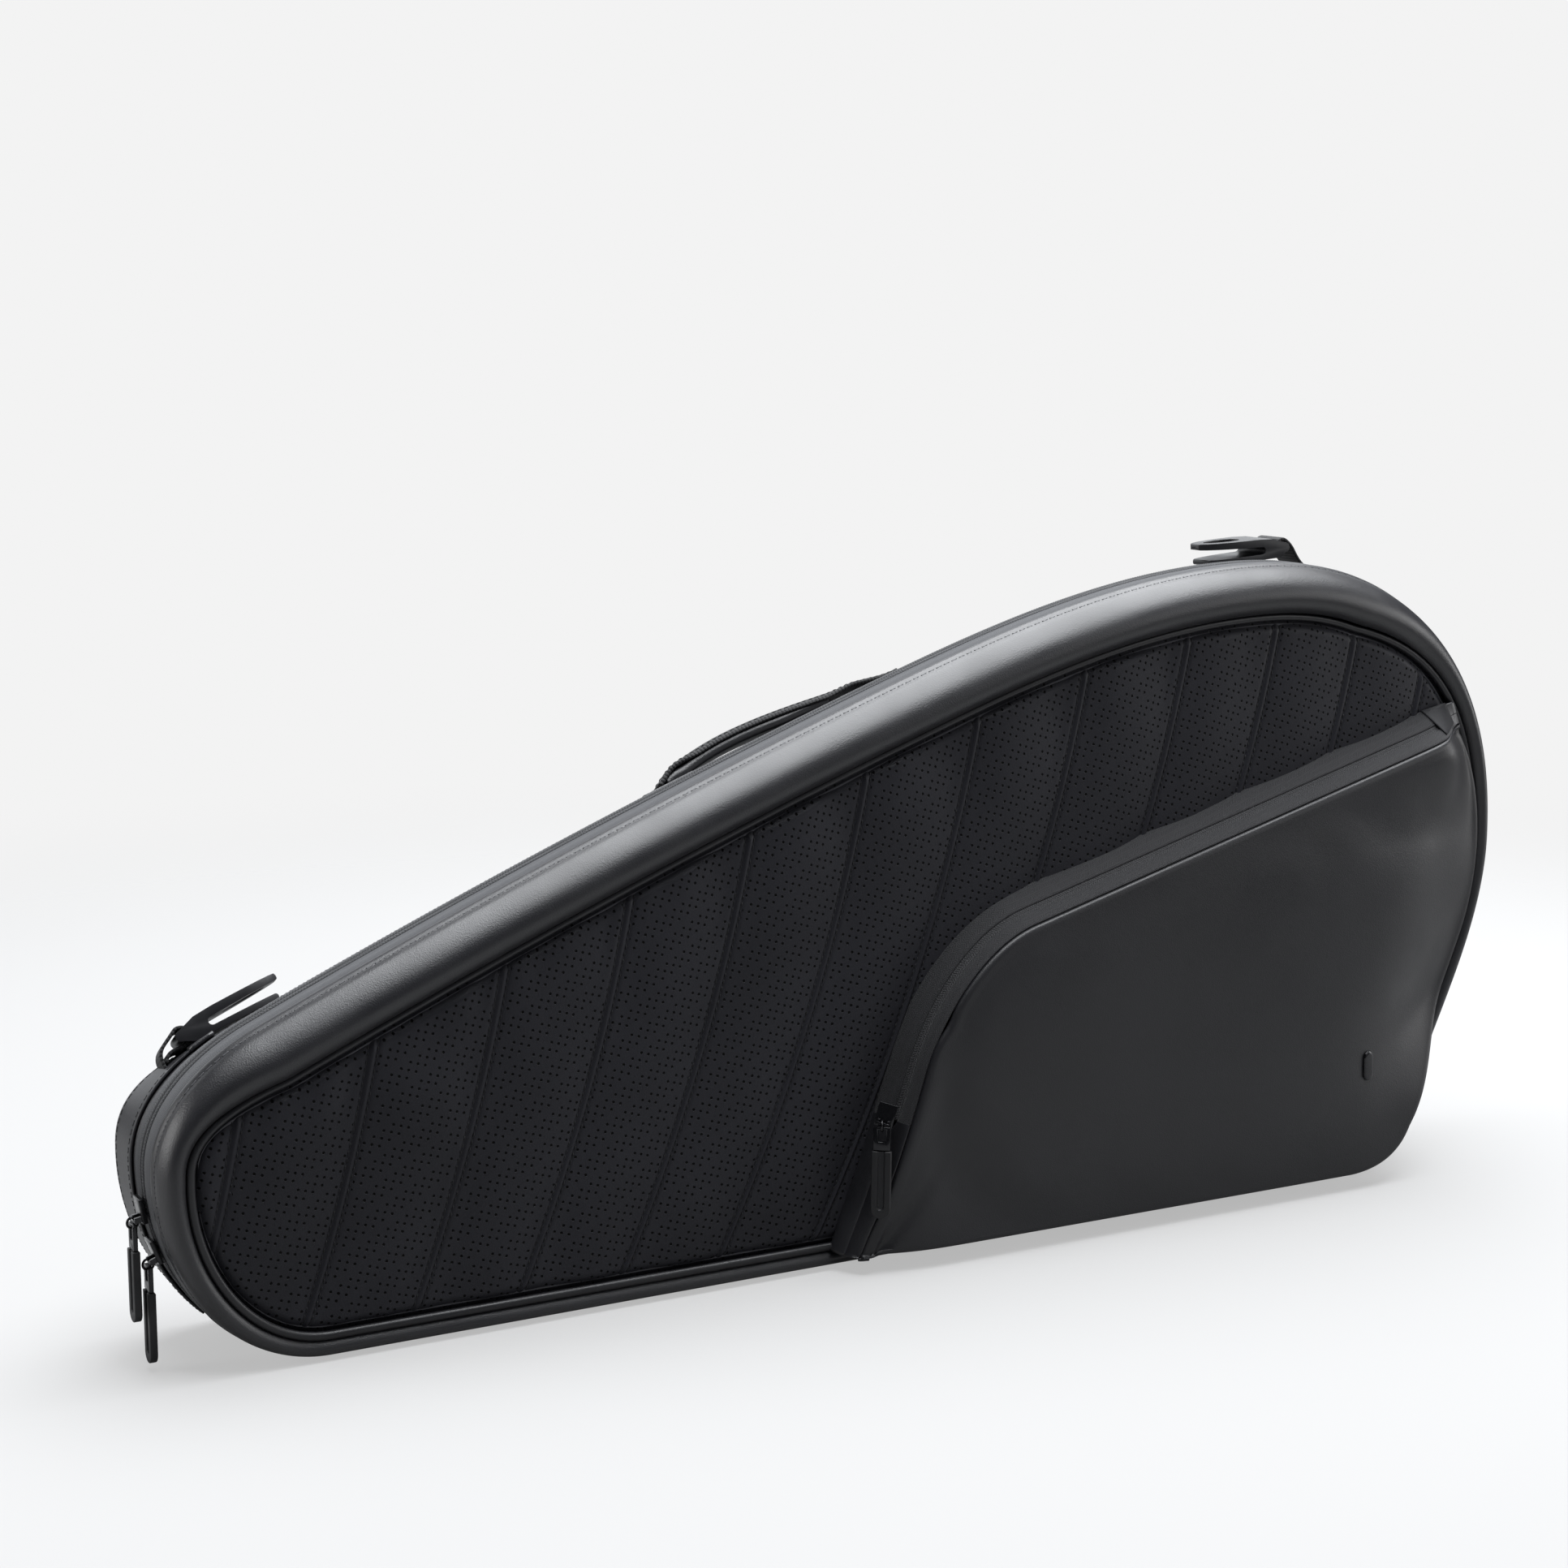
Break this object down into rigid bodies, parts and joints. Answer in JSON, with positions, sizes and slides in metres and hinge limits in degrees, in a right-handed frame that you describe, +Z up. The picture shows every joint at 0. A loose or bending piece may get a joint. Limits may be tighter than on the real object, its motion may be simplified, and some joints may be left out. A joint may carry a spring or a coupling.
{
  "type": "racquet bag",
  "caption": "Slim padded clamshell racquet bag standing on its long edge, with main zip, zipped front pocket, carry handle and shoulder-strap hooks.",
  "frame": {"origin": "on the floor under the middle of the overall length, in the plane of the main zip", "axes": "+X along the length towards the wide (racquet head) end, -Y out of the quilted front panel, +Z up"},
  "size_m": [0.7561, 0.1041, 0.3444],
  "materials": {
    "leather": "satin fine-grained black leather",
    "perforated_leather": "quilted black leather with a lattice of small round holes",
    "foam": "foam padding",
    "lining": "plain woven lining",
    "zip_tape": "dark grey herringbone zip tape",
    "zip_coil": "black nylon coil",
    "webbing": "ribbed black webbing",
    "black_metal": "gloss black plated zinc",
    "puller_rubber": "matt black moulded rubber",
    "hook_plastic": "dark moulded plastic"
  },
  "bodies": {
    "root": {"rear_zip_tape": "zip_tape", "rear_zip_coil": "zip_coil", "rear_base_strip": "leather", "rear_gusset": "leather", "rear_piping": "leather", "rear_panel": "leather", "rear_foam": "foam", "rear_lining": "lining", "narrow_end_cover": "leather", "end_cover_binding": "leather", "zip_end_tab": "leather", "left_hook_webbing": "webbing", "right_hook_webbing": "webbing", "handle_anchor_left": "leather", "handle_anchor_right": "leather", "handle_webbing": "webbing", "handle_padding": "leather"},
    "front_cover": {"front_band": "leather", "front_piping": "leather", "front_panel": "perforated_leather", "front_foam": "foam", "front_lining": "lining", "front_zip_tape": "zip_tape", "front_zip_coil": "zip_coil", "front_base_strip": "leather", "pocket_gusset": "leather", "pocket_zip_coil": "zip_coil", "pocket_end_wall": "leather", "pocket_side_wall": "leather", "pocket_face": "leather", "pocket_base": "leather", "badge": "black_metal"},
    "pocket_flap": {"pocket_flap": "leather", "pocket_flap_rim": "leather"},
    "upper_slider": {"upper_slider": "black_metal"},
    "lower_slider": {"lower_slider": "black_metal"},
    "pocket_slider": {"pocket_slider": "black_metal"},
    "left_hook": {"left_hook": "hook_plastic"},
    "right_hook": {"right_hook": "hook_plastic"},
    "upper_puller": {"upper_puller_link": "black_metal", "upper_puller_frame": "black_metal", "upper_puller_sleeve": "puller_rubber"},
    "lower_puller": {"lower_puller_link": "black_metal", "lower_puller_frame": "black_metal", "lower_puller_sleeve": "puller_rubber"},
    "pocket_puller": {"pocket_puller_link": "black_metal", "pocket_puller_frame": "black_metal", "pocket_puller_sleeve": "puller_rubber"}
  },
  "joints": [
    {"name": "lid_hinge", "type": "hinge", "parent": "root", "child": "front_cover", "pos_m": [0, 0, 0], "axis": [1, 0, 0], "range_deg": [0, 50]},
    {"name": "pocket_flap_fold", "type": "hinge", "parent": "front_cover", "child": "pocket_flap", "pos_m": [-0.00694, -0.05, 0.06818], "axis": [0.8898, 0, 0.4564], "range_deg": [0, 35]},
    {"name": "upper_slider_travel", "type": "hinge", "parent": "root", "child": "upper_slider", "pos_m": [-0.27075, 0, 0.0907], "axis": [0, 1, 0], "range_deg": [0, 22]},
    {"name": "upper_puller_swing", "type": "hinge", "parent": "upper_slider", "child": "upper_puller", "pos_m": [-0.37407, 0, 0.06957], "axis": [0, 1, 0], "range_deg": [0, 80]},
    {"name": "lower_slider_travel", "type": "hinge", "parent": "root", "child": "lower_slider", "pos_m": [-0.27075, 0, 0.0907], "axis": [0, 1, 0], "range_deg": [-14, 0]},
    {"name": "lower_puller_swing", "type": "hinge", "parent": "lower_slider", "child": "lower_puller", "pos_m": [-0.36786, 0, 0.04957], "axis": [0, 1, 0], "range_deg": [-12, 0]},
    {"name": "pocket_slider_travel", "type": "slide", "parent": "front_cover", "child": "pocket_slider", "axis": [0.2955, 0, 0.9553], "range_m": [0, 0.02]},
    {"name": "pocket_puller_swing", "type": "hinge", "parent": "pocket_slider", "child": "pocket_puller", "pos_m": [-0.01976, -0.04408, 0.07547], "axis": [-0.766, 0.6428, 0], "range_deg": [0, 80]},
    {"name": "left_hook_turn", "type": "hinge", "parent": "root", "child": "left_hook", "pos_m": [-0.34159, 0.0342, 0.13935], "axis": [-0.1524, -0.9135, 0.3771], "range_deg": [0, 90]},
    {"name": "right_hook_turn", "type": "hinge", "parent": "root", "child": "right_hook", "pos_m": [0.26688, 0.032, 0.33921], "axis": [0, 1, 0], "range_deg": [0, 90]}
  ]
}
